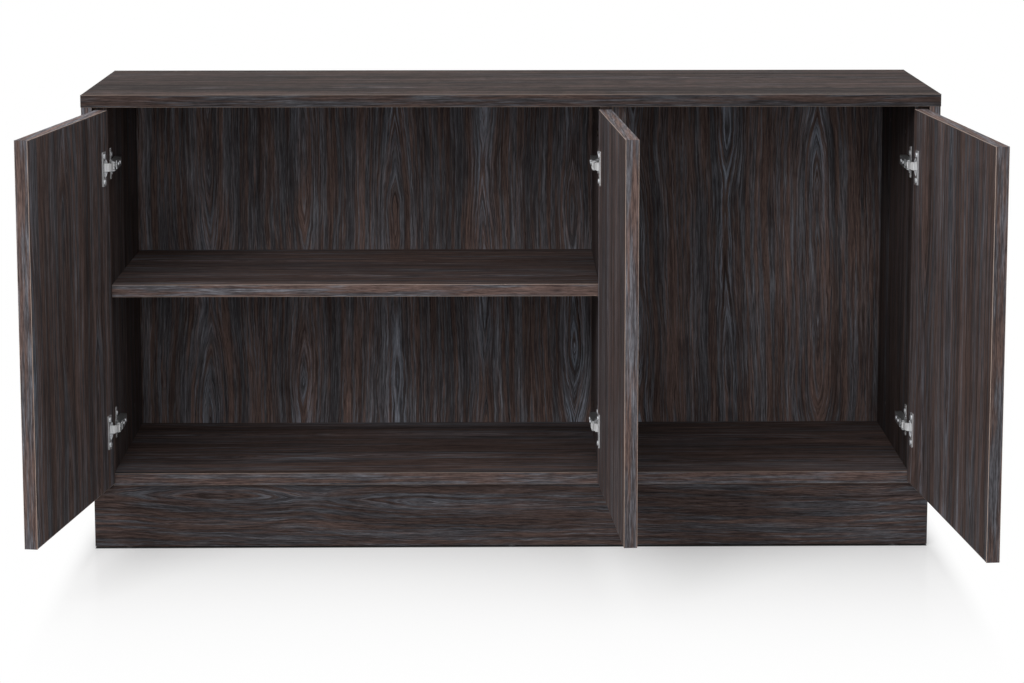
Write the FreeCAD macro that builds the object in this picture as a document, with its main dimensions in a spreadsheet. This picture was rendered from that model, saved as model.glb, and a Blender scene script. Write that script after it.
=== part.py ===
import FreeCAD, Part

import math
import os
import re

# Office credenza: two carcasses stand side by side on one plinth under one top slab, clad with a
# cheek at each end.  The wide left carcass has a pair of doors and a shelf, the right one a single
# door.  X runs along the width, -Y is the front, Z is up.  The origin is on the floor, under the
# middle of the plinth's front rail.

doc = FreeCAD.newDocument("credenza")

# ---------------------------------------------------------------------------------------------
# Driving dimensions, in millimetres and degrees
# ---------------------------------------------------------------------------------------------

SIZES = {
    # whole object
    "width": 1500,
    "depth": 450,
    "height": 820,
    "divider_place": 178,        # joint of the two carcasses, right of the middle
    # boards
    "board": 22,                 # slab, carcass, shelf and plinth
    "cheek_board": 19,
    "door_board": 22,
    "back_board": 16,
    "edge_band": 2,
    "arris": 1,                  # rounding of the edge bands
    # lips and reveals
    "slab_side_lip": 0.5,        # slab beyond the cheeks
    "slab_front_lip": 1,         # slab beyond the doors and the cheeks' front
    "slab_back_lip": 1,
    "door_back_gap": 1.5,        # closed door to carcass
    "door_edge_gap": 2,
    "door_pair_gap": 3,
    "door_top_gap": 5,
    "door_overlap": 14,          # door over the front edge of the bottom board
    # plinth
    "plinth_height": 118,        # floor to the bottom board
    "plinth_setback": 12,
    "plinth_inset": 3,
    "glide_thick": 3,
    "glide_radius": 10,
    "glide_inset": 60,
    "glide_nail": 12,
    "nail_radius": 1.5,
    "block_long": 60,
    "block_deep": 30,
    "block_rise": 70,
    # shelf
    "shelf_height": 478,
    "shelf_setback": 16,
    "shelf_play": 0.8,
    "shelf_pin_radius": 2.5,
    "shelf_pin_sink": 9,
    "shelf_pin_reach": 8,
    "shelf_pin_inset": 37,
    # connectors
    "fit_play": 0.3,             # radial play of dowels, bolts and screws in their bores
    "cam_radius": 7.5,
    "cam_deep": 12.5,
    "cam_reach": 34,             # board end to cam centre
    "cam_inset": 75,             # board edge to the first and last connector
    "bolt_radius": 3,
    "bolt_sink": 11,
    "dowel_radius": 4,
    "dowel_sink": 12,
    "screw_radius": 2,
    "screw_sink": 10,
    "screw_head": 4,
    "head_thick": 1.6,
    "sleeve_radius": 4,
    "sleeve_length": 26,
    "joint_rise": 60,            # joining bolts and cheek screws above and below the boards
    "joint_step": 35,            # joining bolts behind the front cams, ahead of the back ones
    # doors at rest
    "open_left": 98.5,
    "open_middle": 93.3,
    "open_right": 94.8,
    # concealed hinges, measured inwards from the door's edge plane and outwards from the carcass
    "hinge_end": 100,            # hinge centre to the door's end
    "pivot_in": 8,
    "pivot_out": 18.9,
    "cup_edge": 22.5,            # door edge to cup centre
    "cup_radius": 17.5,
    "cup_wall": 0.9,
    "cup_deep": 13.5,
    "flange_thick": 2.5,
    "flange_wide": 16,
    "flange_tall": 60,
    "flange_screws": 45,         # spacing of a cup's two screws
    "flange_offset": 9.5,        # cup centre to screw line
    "cup_pin_in": 12,
    "cup_pin_out": 5,
    "cup_pin_radius": 1,
    "cup_pin_sink": 0.1,
    "knuckle": 2,
    "arm_pin_in": 33,
    "arm_pin_out": 7.5,
    "link_half": 5.9,            # half the height of the link's tail, inside the arm
    "link_head_half": 7,         # and of its head, outside it
    "link_thick": 2.2,
    "link_step": 2.4,            # goose-neck: first corner along the link
    "link_rise": 5.2,            # corners off the line between the pins
    "link_reach": 8.8,           # second corner along the link
    "link_open": 99,             # opening at which the link lies exactly on both pins
    "plate_from_edge": 37,
    "plate_wide": 12,
    "plate_tall": 55,
    "plate_thick": 2,
    "plate_screws": 32,
    "plate_screw_radius": 2.5,
    "plate_screw_sink": 13,
    "saddle_front": 24,
    "saddle_length": 38,
    "saddle_half": 6.2,
    "arm_stand": 15,             # arm's back above the side board
    "arm_half": 8,
    "arm_wall": 1.5,
    "arm_length": 60,
    "arm_start": 12,             # carcass front to the arm's back plate
    "arm_nose": 9.5,             # arm's cheeks in front of the carcass
    "arm_screw_first": 29,
    "arm_screw_last": 52,
    "arm_screw_head": 3.2,
    "rivet_radius": 1.3,
    "rivet_head": 2.2,
    "rivet_thick": 0.7,
}

# Places that follow from the sizes; each is a formula of sizes and earlier places
PLACES = {
    "half_width": "width / 2",
    "cheek_out": "half_width - slab_side_lip",
    "cheek_in": "cheek_out - cheek_board",
    "side_in": "cheek_in - board",
    "divider_left_face": "divider_place - board",
    "divider_right_face": "divider_place + board",
    "carcass_front": "0 - plinth_setback - board / 2",
    "door_front": "carcass_front - door_back_gap - door_board",
    "slab_front": "door_front - slab_front_lip",
    "slab_back": "slab_front + depth",
    "carcass_back": "slab_back - slab_back_lip",
    "back_face": "carcass_back - back_board",
    "slab_under": "height - board",
    "bay_floor": "plinth_height + board",
    "door_top": "slab_under - door_top_gap",
    "door_foot": "bay_floor - door_overlap",
    "pair_leaf": "(divider_place + cheek_in - 2 * door_edge_gap - door_pair_gap) / 2",
    "single_leaf": "cheek_in - divider_place - 2 * door_edge_gap",
    "plinth_out": "cheek_out - plinth_inset",
    "plinth_front": "carcass_front + plinth_setback",
    "plinth_back": "carcass_back - plinth_setback",
    "hinge_low": "door_foot + hinge_end",
    "hinge_high": "door_top - hinge_end",
    "cup_centre": "door_edge_gap + cup_edge",
    "cup_floor": "door_back_gap + cup_deep",
    "arm_back": "board + arm_stand",
    "connector_front": "carcass_front + cam_inset",
    "connector_back": "back_face - cam_inset",
    "connector_middle": "(connector_front + connector_back) / 2",
}


def named(formula):
    """Turn the bare names of a formula into cells of the two sheets."""
    def cell(match):
        word = match.group(0)
        if word in SIZES:
            return "Sizes." + word
        if word in PLACES:
            return "Places." + word
        return word
    return re.sub(r"[a-z][a-z_0-9]*", cell, str(formula))


def make_sheet(name, rows, is_formula):
    sheet = doc.addObject("Spreadsheet::Sheet", name)
    for row, (alias, content) in enumerate(rows.items(), start=1):
        sheet.set(f"A{row}", alias)
        sheet.set(f"B{row}", "=" + named(content) if is_formula else str(content))
        sheet.setAlias(f"B{row}", alias)
    doc.recompute()
    return sheet


sizes_sheet = make_sheet("Sizes", SIZES, False)
places_sheet = make_sheet("Places", PLACES, True)


def at(name):
    """The present value of a size or a place."""
    sheet = sizes_sheet if name in SIZES else places_sheet
    return float(sheet.get(name))


# ---------------------------------------------------------------------------------------------
# Building blocks, all bound to the sheets
# ---------------------------------------------------------------------------------------------

PLUS = 1
MINUS = -1
ALONG_X = FreeCAD.Rotation(FreeCAD.Vector(0, 1, 0), 90)
ALONG_Y = FreeCAD.Rotation(FreeCAD.Vector(1, 0, 0), -90)
ALONG_Z = FreeCAD.Rotation()
AXES = {"x": ALONG_X, "y": ALONG_Y, "z": ALONG_Z}
UP = FreeCAD.Vector(0, 0, 1)

nodes = []


def bind_place(item, place):
    for letter, formula in zip("xyz", place):
        item.setExpression("Placement.Base." + letter, named(formula))


def block(name, low, size):
    """A box from its low corner and its three lengths."""
    item = doc.addObject("Part::Box", name)
    for prop, formula in zip(("Length", "Width", "Height"), size):
        item.setExpression(prop, named(formula))
    bind_place(item, low)
    return item


def rod(name, start, axis, radius, length):
    """A cylinder that starts at a point and runs along +x, +y or +z."""
    item = doc.addObject("Part::Cylinder", name)
    item.Placement = FreeCAD.Placement(FreeCAD.Vector(), AXES[axis])
    item.setExpression("Radius", named(radius))
    item.setExpression("Height", named(length))
    bind_place(item, start)
    return item


def together(name, members):
    item = doc.addObject("Part::Compound", name)
    item.Links = members
    return item


def fused(name, members):
    item = doc.addObject("Part::MultiFuse", name)
    item.Shapes = members
    return item


def cut(name, base, tools):
    if not tools:
        return base
    item = doc.addObject("Part::Cut", name)
    item.Base = base
    item.Tool = tools[0] if len(tools) == 1 else together(name + "_tools", tools)
    return item


def node(name, item):
    """Give a finished sub-part its label and keep it for export."""
    item.Label = name
    nodes.append(item)
    return item


def banded(name, low, size, long_axis, faces):
    """An edge band whose long arrises on the named outer faces, such as -y, are rounded."""
    strip = block(name + "_strip", low, size)
    strip.recompute()
    box = strip.Shape.BoundBox
    ends = {"-x": box.XMin, "+x": box.XMax, "-y": box.YMin, "+y": box.YMax, "-z": box.ZMin, "+z": box.ZMax}
    picked = []
    for number, edge in enumerate(strip.Shape.Edges, start=1):
        run = edge.tangentAt(edge.FirstParameter)
        middle = edge.CenterOfMass
        along = abs({"x": run.x, "y": run.y, "z": run.z}[long_axis]) > 0.9
        spots = {"x": middle.x, "y": middle.y, "z": middle.z}
        outer = any(abs(spots[face[1]] - ends[face]) < 1e-6 for face in faces)
        if along and outer:
            picked.append((number, at("arris"), at("arris")))
    rounded = doc.addObject("Part::Fillet", name)
    rounded.Base = strip
    rounded.Edges = picked
    return rounded


# ---------------------------------------------------------------------------------------------
# Connectors: each function returns the pieces and files the bores that they need by board
# ---------------------------------------------------------------------------------------------

bores = {}
pieces = {}


def bore(board, item):
    bores.setdefault(board, []).append(item)


def piece(group, item):
    pieces.setdefault(group, []).append(item)


def rod_from(name, point, axis, sign, start, length, radius):
    """A rod on a line through point, from start outwards along the signed axis."""
    spot = dict(zip("xyz", point))
    if sign == PLUS:
        spot[axis] = f"({spot[axis]}) + ({start})"
    else:
        spot[axis] = f"({spot[axis]}) - ({start}) - ({length})"
    return rod(name, (spot["x"], spot["y"], spot["z"]), axis, radius, length)


def shifted(point, axis, sign, distance):
    """A point moved along a signed axis."""
    spot = dict(zip("xyz", point))
    spot[axis] = f"({spot[axis]}) {'+' if sign == PLUS else '-'} ({distance})"
    return (spot["x"], spot["y"], spot["z"])


def cam_joint(tag, point, axis, sign, housed, faced, drop_axis, drop_sign):
    """A bolt in the face of one board pulled by a cam in the other.

    point lies on the joint, sign is the way to the housed board, and the cam is let into the
    housed board's surface, which lies along drop_axis from the bolt."""
    reach = "cam_reach"
    shank = rod_from(tag + "_shank", point, axis, sign, "-bolt_sink", "bolt_sink + cam_reach", "bolt_radius")
    piece("cam_bolts", shank)
    bore(faced, rod_from(tag + "_sink", point, axis, sign, "-bolt_sink", "bolt_sink", "bolt_radius + fit_play"))
    bore(housed, rod_from(tag + "_run", point, axis, sign, "0", reach, "bolt_radius + fit_play"))
    centre = shifted(point, axis, sign, reach)
    cover = "cam_deep - board / 2" if housed not in BACKS else "cam_deep - back_board / 2"
    barrel = rod_from(tag + "_barrel", centre, drop_axis, drop_sign, f"-({cover})", "cam_deep", "cam_radius - fit_play")
    throat = rod_from(tag + "_throat", point, axis, sign, "0", f"{reach} + fit_play", "bolt_radius + fit_play")
    piece("cam_locks", cut(tag + "_cam", barrel, [throat]))
    bore(housed, rod_from(tag + "_pocket", centre, drop_axis, drop_sign, f"-({cover})", "cam_deep", "cam_radius"))


def dowel_joint(tag, point, axis, first, second):
    """A dowel half in each of two boards; the second board lies along +axis."""
    piece("wood_dowels", rod_from(tag, point, axis, PLUS, "-dowel_sink", "2 * dowel_sink", "dowel_radius"))
    bore(first, rod_from(tag + "_a", point, axis, MINUS, "0", "dowel_sink", "dowel_radius + fit_play"))
    bore(second, rod_from(tag + "_b", point, axis, PLUS, "0", "dowel_sink", "dowel_radius + fit_play"))


def screw_joint(group, tag, point, axis, sign, through, holder, holder_board):
    """A flush screw from the surface of one board into the next; point lies on its head."""
    length = f"{through} + screw_sink"
    shank = rod_from(tag + "_shank", point, axis, sign, "0", length, "screw_radius")
    head = rod_from(tag + "_head", point, axis, sign, "0", "head_thick", "screw_head")
    piece(group, fused(tag, [shank, head]))
    bore(holder, rod_from(tag + "_way", point, axis, sign, "0", through, "screw_radius + fit_play"))
    bore(holder, rod_from(tag + "_seat", point, axis, sign, "0", "head_thick", "screw_head + fit_play"))
    bore(holder_board, rod_from(tag + "_bite", point, axis, sign, through, "screw_sink", "screw_radius + fit_play"))


# ---------------------------------------------------------------------------------------------
# Carcasses, cheeks, slab, shelf
# ---------------------------------------------------------------------------------------------

SIDES = {
    "side_left": ("0 - cheek_in", "0 - side_in", PLUS),
    "divider_left": ("divider_place", "divider_left_face", MINUS),
    "divider_right": ("divider_place", "divider_right_face", PLUS),
    "side_right": ("cheek_in", "side_in", MINUS),
}
BAYS = {
    "left": ("0 - side_in", "divider_left_face", "side_left", "divider_left"),
    "right": ("divider_right_face", "side_in", "divider_right", "side_right"),
}
BACKS = ("back_left", "back_right")
PANEL_BACK = "carcass_back - carcass_front"


def connect_carcass():
    """Cams, bolts and dowels between slab, sides, bottoms and backs."""
    for side, (outer, inner, inward) in SIDES.items():
        middle = f"(({outer}) + ({inner})) / 2"
        for end in ("front", "back"):
            point = (middle, f"connector_{end}", "slab_under")
            cam_joint(f"{side}_{end}_top", point, "z", MINUS, side, "top_panel", "x", inward)
        dowel_joint(f"{side}_top_dowel", (middle, "connector_middle", "slab_under"), "z", side, "top_panel")
    for bay, (left_face, right_face, left_side, right_side) in BAYS.items():
        ends = ((left_face, PLUS, left_side), (right_face, MINUS, right_side))
        for face, inward, side in ends:
            level = "plinth_height + board / 2"
            for end in ("front", "back"):
                tag = f"{side}_{end}_floor"
                cam_joint(tag, (face, f"connector_{end}", level), "x", inward, f"bottom_{bay}", side, "z", MINUS)
            first, second = (side, f"bottom_{bay}") if inward == PLUS else (f"bottom_{bay}", side)
            dowel_joint(f"{side}_floor_dowel", (face, "connector_middle", level), "x", first, second)
            depth_line = "carcass_back - back_board / 2"
            for end, rise in (("low", "bay_floor + joint_rise"), ("high", "slab_under - joint_rise")):
                cam_joint(f"{side}_{end}_back", (face, depth_line, rise), "x", inward, f"back_{bay}", side, "y", PLUS)
            first, second = (side, f"back_{bay}") if inward == PLUS else (f"back_{bay}", side)
            dowel_joint(f"{side}_back_dowel", (face, depth_line, "shelf_height"), "x", first, second)


def join_carcasses():
    """Sleeved bolts through the two divider boards, and screws through the end sides into the cheeks."""
    for end, line in (("front", "connector_front + joint_step"), ("back", "connector_back - joint_step")):
        for level, rise in (("low", "bay_floor + joint_rise"), ("high", "slab_under - joint_rise")):
            tag = f"join_{end}_{level}"
            start = ("divider_left_face", line, rise)
            far = ("divider_right_face", line, rise)
            shank = rod_from(tag + "_shank", start, "x", PLUS, "0", "2 * board - head_thick - fit_play", "bolt_radius")
            head = rod_from(tag + "_cap", start, "x", MINUS, "0", "head_thick", "cam_radius")
            piece("joining_bolts", fused(tag + "_bolt", [shank, head]))
            tube = rod_from(tag + "_tube", far, "x", MINUS, "0", "sleeve_length", "sleeve_radius")
            cap = rod_from(tag + "_rim", far, "x", PLUS, "0", "head_thick", "cam_radius")
            hole = rod_from(tag + "_hole", far, "x", MINUS, "head_thick", "sleeve_length", "bolt_radius + fit_play")
            piece("joining_sleeves", cut(tag + "_sleeve", fused(tag + "_body", [tube, cap]), [hole]))
            for board in ("divider_left", "divider_right"):
                way = rod_from(f"{tag}_{board}", start, "x", PLUS, "0", "2 * board", "sleeve_radius + fit_play")
                bore(board, way)
            for hand, side, cheek in ((MINUS, "side_left", "cheek_left"), (PLUS, "side_right", "cheek_right")):
                face = "side_in" if hand == PLUS else "0 - side_in"
                point = (face, line, rise)
                screw_joint("cheek_screws", f"{cheek}_{end}_{level}", point, "x", hand, "board", side, cheek)


def build_panels():
    for side, (outer, inner, inward) in SIDES.items():
        low = outer if inward == PLUS else inner
        start = "carcass_front + edge_band"
        board = block(side + "_board", (low, start, "plinth_height"),
                      ("board", f"{PANEL_BACK} - edge_band", "slab_under - plinth_height"))
        node(side, cut(side, board, bores[side]))
        band = banded(side + "_band", (low, "carcass_front", "plinth_height"),
                      ("board", "edge_band", "slab_under - plinth_height"), "z", ("-y",))
        piece("carcass_edging", band)
    for bay, (left_face, right_face, _, _) in BAYS.items():
        span = f"({right_face}) - ({left_face})"
        floor = block(f"bottom_{bay}_board", (left_face, "carcass_front + edge_band", "plinth_height"),
                      (span, f"{PANEL_BACK} - edge_band", "board"))
        node(f"bottom_{bay}", cut(f"bottom_{bay}", floor, bores[f"bottom_{bay}"]))
        band = banded(f"bottom_{bay}_band", (left_face, "carcass_front", "plinth_height"),
                      (span, "edge_band", "board"), "x", ("-y",))
        piece("carcass_edging", band)
        back = block(f"back_{bay}_board", (left_face, "back_face", "bay_floor"),
                     (span, "back_board", "slab_under - bay_floor"))
        node(f"back_{bay}", cut(f"back_{bay}", back, bores[f"back_{bay}"]))


def build_slab():
    band = "edge_band"
    core = block("slab_core", ("0 - half_width + edge_band", "slab_front + edge_band", "slab_under"),
                 ("width - 2 * edge_band", "depth - 2 * edge_band", "board"))
    node("top_panel", cut("top_panel", core, bores["top_panel"]))
    strips = [
        banded("slab_band_front", ("0 - half_width", "slab_front", "slab_under"), ("width", band, "board"), "x", ("-y",)),
        banded("slab_band_back", ("0 - half_width", "slab_back - edge_band", "slab_under"),
               ("width", band, "board"), "x", ("+y",)),
    ]
    for name, low, face in (("left", "0 - half_width", "-x"), ("right", "half_width - edge_band", "+x")):
        strips.append(banded("slab_band_" + name, (low, "slab_front + edge_band", "slab_under"),
                             (band, "depth - 2 * edge_band", "board"), "y", (face,)))
    node("top_edging", together("top_edging", strips))


def build_cheeks():
    front = "door_front"
    back = "slab_back - slab_back_lip"
    strips = []
    for name, low in (("cheek_left", "0 - cheek_out"), ("cheek_right", "cheek_in")):
        core = block(name + "_board", (low, f"{front} + edge_band", "plinth_height + edge_band"),
                     ("cheek_board", f"{back} - ({front}) - 2 * edge_band", "slab_under - plinth_height - edge_band"))
        node(name, cut(name, core, bores[name]))
        strips.append(banded(name + "_band_front", (low, front, "plinth_height"),
                             ("cheek_board", "edge_band", "slab_under - plinth_height"), "z", ("-y",)))
        strips.append(banded(name + "_band_back", (low, f"{back} - edge_band", "plinth_height"),
                             ("cheek_board", "edge_band", "slab_under - plinth_height"), "z", ("+y",)))
        strips.append(banded(name + "_band_foot", (low, f"{front} + edge_band", "plinth_height"),
                             ("cheek_board", f"{back} - ({front}) - 2 * edge_band", "edge_band"), "y", ("-z",)))
    node("cheek_edging", together("cheek_edging", strips))


def build_shelf():
    left = "0 - side_in + shelf_play"
    span = "divider_left_face + side_in - 2 * shelf_play"
    front = "carcass_front + shelf_setback"
    under = "shelf_height - board"
    node("shelf", block("shelf", (left, f"{front} + edge_band", under),
                        (span, f"back_face - shelf_play - ({front}) - edge_band", "board")))
    node("shelf_edging", banded("shelf_edging", (left, front, under), (span, "edge_band", "board"), "x", ("-y",)))
    for side, face, inward in (("side_left", "0 - side_in", PLUS), ("divider_left", "divider_left_face", MINUS)):
        for end, line in (("front", f"{front} + shelf_pin_inset"), ("back", "back_face - shelf_pin_inset")):
            point = (face, line, f"{under} - shelf_pin_radius")
            tag = f"shelf_pin_{side}_{end}"
            piece("shelf_pins", rod_from(tag, point, "x", inward, "-shelf_pin_sink",
                                         "shelf_pin_sink + shelf_pin_reach", "shelf_pin_radius"))
            bore(side, rod_from(tag + "_bore", point, "x", inward, "-shelf_pin_sink", "shelf_pin_sink",
                                "shelf_pin_radius + fit_play"))


# ---------------------------------------------------------------------------------------------
# Plinth
# ---------------------------------------------------------------------------------------------

def build_plinth():
    rise = "plinth_height - glide_thick"
    rails = {"plinth_front": "plinth_front", "plinth_back": "plinth_back - board"}
    for name, line in rails.items():
        for number, place in enumerate(("0 - plinth_out + glide_inset", "0", "plinth_out - glide_inset")):
            tag = f"{name}_glide_{number}"
            centre = (place, f"{line} + board / 2", "0")
            disc = rod(tag + "_disc", centre, "z", "glide_radius", "glide_thick")
            nail = rod(tag + "_nail", centre, "z", "nail_radius", "glide_thick + glide_nail")
            piece("plinth_glides", fused(tag, [disc, nail]))
            hole = (place, f"{line} + board / 2", "glide_thick")
            bore(name, rod(tag + "_hole", hole, "z", "nail_radius + fit_play", "glide_nail"))
        rail = block(name + "_board", ("0 - plinth_out", line, "glide_thick"), ("2 * plinth_out", "board", rise))
        node(name, cut(name, rail, bores[name]))
    inner_front = "plinth_front + board"
    inner_span = "plinth_back - plinth_front - 2 * board"
    ends = {"plinth_end_left": "0 - plinth_out", "plinth_end_right": "plinth_out - board"}
    for name, place in ends.items():
        node(name, block(name, (place, inner_front, "glide_thick"), ("board", inner_span, rise)))
    ties = []
    stations = {"mid": "divider_place", "wide": "(divider_place - side_in) / 2"}
    for name, place in stations.items():
        ties.append(block(f"plinth_tie_{name}", (f"{place} - board / 2", inner_front, "glide_thick"),
                          ("board", inner_span, rise)))
    node("plinth_cross_rails", together("plinth_cross_rails", ties))
    corners = {
        "left": "0 - plinth_out + board",
        "wide": "(divider_place - side_in + board) / 2",
        "mid": "divider_place + board / 2",
        "right": "plinth_out - board - block_long",
    }
    for name, place in corners.items():
        for end, line in (("front", inner_front), ("back", "plinth_back - board - block_deep")):
            tag = f"plinth_block_{name}_{end}"
            low = (place, line, "plinth_height - block_rise")
            body = block(tag + "_body", low, ("block_long", "block_deep", "block_rise"))
            foot = (f"{place} + block_long / 2", f"{line} + block_deep / 2", "plinth_height - block_rise")
            way = rod(tag + "_way", foot, "z", "screw_radius + fit_play", "block_rise")
            seat = rod(tag + "_seat", foot, "z", "screw_head + fit_play", "head_thick")
            piece("plinth_blocks", cut(tag, body, [fused(tag + "_tool", [way, seat])]))
            shank = rod(tag + "_shank", foot, "z", "screw_radius", "block_rise + screw_sink")
            head = rod(tag + "_head", foot, "z", "screw_head", "head_thick")
            piece("plinth_screws", fused(tag + "_screw", [shank, head]))
            bite = (foot[0], foot[1], "plinth_height")
            bay = "left" if name in ("left", "wide") else "right"
            bore(f"bottom_{bay}", rod(tag + "_bite", bite, "z", "screw_radius + fit_play", "screw_sink"))


# ---------------------------------------------------------------------------------------------
# Doors and their hinges.  A door is described closed, by distances inwards from its edge plane
# (in) and outwards from the carcass front (out), and then swung open about its pivot.
# ---------------------------------------------------------------------------------------------

class Door:
    def __init__(self, name, plane, hand, leaf, opening, side):
        self.name = name
        self.plane = plane
        self.hand = hand
        self.leaf = leaf
        self.opening = opening
        self.side = side

    def across(self, inward, length):
        """Low X of a stretch that begins inward of the edge plane."""
        if self.hand == PLUS:
            return f"({self.plane}) + ({inward})"
        return f"({self.plane}) - ({inward}) - ({length})"

    def spot(self, inward, outward, rise):
        sign = "+" if self.hand == PLUS else "-"
        return (f"({self.plane}) {sign} ({inward})", f"carcass_front - ({outward})", rise)

    def box(self, name, inward, outward, rise, size):
        """A block whose low corner is given inwards, outwards and up; size is in that order."""
        low = (self.across(inward, size[0]), f"carcass_front - ({outward}) - ({size[1]})", rise)
        return block(name, low, size)

    def plane_value(self):
        if self.plane == "divider_place":
            return at("divider_place")
        return at("cheek_in") * (-1 if self.hand == PLUS else 1)

    def swing(self):
        """Placement that opens the door, and its pivot."""
        pivot = FreeCAD.Vector(self.plane_value() + self.hand * at("pivot_in"), at("carcass_front") - at("pivot_out"), 0)
        turn = FreeCAD.Rotation(UP, -self.hand * at(self.opening))
        return FreeCAD.Placement(FreeCAD.Vector(), turn, pivot)

    def opened(self, name, item):
        """A finished piece of the door, swung open."""
        item.Placement = self.swing().multiply(item.Placement)
        return node(name, item)


DOORS = [
    Door("door_left", "0 - cheek_in", PLUS, "pair_leaf", "open_left", "side_left"),
    Door("door_middle", "divider_place", MINUS, "pair_leaf", "open_middle", "divider_left"),
    Door("door_right", "cheek_in", MINUS, "single_leaf", "open_right", "side_right"),
]
HINGE_LEVELS = {"low": "hinge_low", "high": "hinge_high"}


def build_leaf(door):
    tools = []
    for level, rise in HINGE_LEVELS.items():
        tag = f"{door.name}_{level}"
        mouth = door.spot("cup_centre", "cup_floor", rise)
        tools.append(rod(tag + "_cup_bore", mouth, "y", "cup_radius", "cup_deep"))
        for number, sign in enumerate("+-"):
            start = door.spot("cup_centre + flange_offset", "door_back_gap + screw_sink",
                              f"{rise} {sign} flange_screws / 2")
            tools.append(rod(f"{tag}_screw_bore_{number}", start, "y", "screw_radius + fit_play", "screw_sink"))
    inner = door.box(door.name + "_board", "door_edge_gap + edge_band", "door_back_gap", "door_foot + edge_band",
                     (f"{door.leaf} - 2 * edge_band", "door_board", "door_top - door_foot - 2 * edge_band"))
    door.opened(door.name, cut(door.name + "_leaf", inner, tools))
    tall = ("edge_band", "door_board", "door_top - door_foot")
    wide = (f"{door.leaf} - 2 * edge_band", "door_board", "edge_band")
    height_faces = ("-x", "+x")
    places = (
        ("hinge_band", "door_edge_gap", "door_foot", tall, "z", height_faces[0 if door.hand == PLUS else 1]),
        ("free_band", f"door_edge_gap + {door.leaf} - edge_band", "door_foot", tall, "z",
         height_faces[1 if door.hand == PLUS else 0]),
        ("foot_band", "door_edge_gap + edge_band", "door_foot", wide, "x", "-z"),
        ("head_band", "door_edge_gap + edge_band", "door_top - edge_band", wide, "x", "+z"),
    )
    strips = []
    for name, inward, rise, size, axis, face in places:
        low = (door.across(inward, size[0]), "carcass_front - door_back_gap - door_board", rise)
        strips.append(banded(f"{door.name}_{name}", low, size, axis, (face,)))
    door.opened(door.name + "_edging", together(door.name + "_edging_closed", strips))


def build_cups(door):
    cups = []
    screws = []
    pins = []
    for level, rise in HINGE_LEVELS.items():
        tag = f"{door.name}_{level}"
        floor = door.spot("cup_centre", "cup_floor", rise)
        shell = rod(tag + "_shell", floor, "y", "cup_radius - fit_play", "cup_deep")
        flange = door.box(tag + "_flange", "cup_centre + flange_offset - flange_wide / 2", "door_back_gap - flange_thick",
                          f"{rise} - flange_tall / 2", ("flange_wide", "flange_thick", "flange_tall"))
        room_start = door.spot("cup_centre", "cup_floor - cup_wall", rise)
        room = rod(tag + "_room", room_start, "y", "cup_radius - cup_wall", "cup_deep + flange_thick")
        tools = [room]
        for number, sign in enumerate("+-"):
            level_line = f"{rise} {sign} flange_screws / 2"
            start = door.spot("cup_centre + flange_offset", "door_back_gap + screw_sink", level_line)
            hole = door.spot("cup_centre + flange_offset", "door_back_gap", level_line)
            cap = door.spot("cup_centre + flange_offset", "door_back_gap - flange_thick", level_line)
            shank = rod(f"{tag}_shank_{number}", start, "y", "screw_radius", "screw_sink + flange_thick")
            head = rod(f"{tag}_head_{number}", cap, "y", "screw_head", "head_thick")
            screws.append(fused(f"{tag}_screw_{number}", [shank, head]))
            tools.append(rod(f"{tag}_hole_{number}", hole, "y", "screw_radius + fit_play", "flange_thick"))
        half = "(sqrt((cup_radius - cup_wall)^2 - (cup_centre - cup_pin_in)^2) + cup_pin_sink)"
        pin_low = door.spot("cup_pin_in", "cup_pin_out", f"{rise} - {half}")
        pins.append(rod(tag + "_pin", pin_low, "z", "cup_pin_radius", f"2 * {half}"))
        tools.append(rod(tag + "_pin_hole", pin_low, "z", "cup_pin_radius + fit_play", f"2 * {half}"))
        cups.append(cut(tag + "_cup", fused(tag + "_cup_body", [shell, flange]), tools))
    suffix = door.name[len("door_"):]
    door.opened("hinge_cups_" + suffix, together(door.name + "_cups", cups))
    door.opened("cup_screws_" + suffix, together(door.name + "_screws", screws))
    door.opened("cup_pins_" + suffix, together(door.name + "_pins", pins))


def link_angle(opening):
    """Direction of the link in the closed door's own axes, from cup pin to arm pin."""
    def true_angle(turned):
        reach_in = at("arm_pin_in") - at("pivot_in")
        reach_out = at("arm_pin_out") - at("pivot_out")
        radius = math.hypot(reach_in, reach_out)
        bearing = math.atan2(reach_out, reach_in) - math.radians(turned)
        pin_in = at("pivot_in") + radius * math.cos(bearing)
        pin_out = at("pivot_out") + radius * math.sin(bearing)
        return math.degrees(math.atan2(pin_out - at("cup_pin_out"), pin_in - at("cup_pin_in"))) % 360
    closed = true_angle(0) + 360
    fully = true_angle(at("link_open"))
    ratio = (closed - fully) / at("link_open")
    length_in = at("arm_pin_in") - at("cup_pin_in")
    length_out = at("arm_pin_out") - at("cup_pin_out")
    return closed - ratio * opening, ratio, math.hypot(length_in, length_out)


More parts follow.
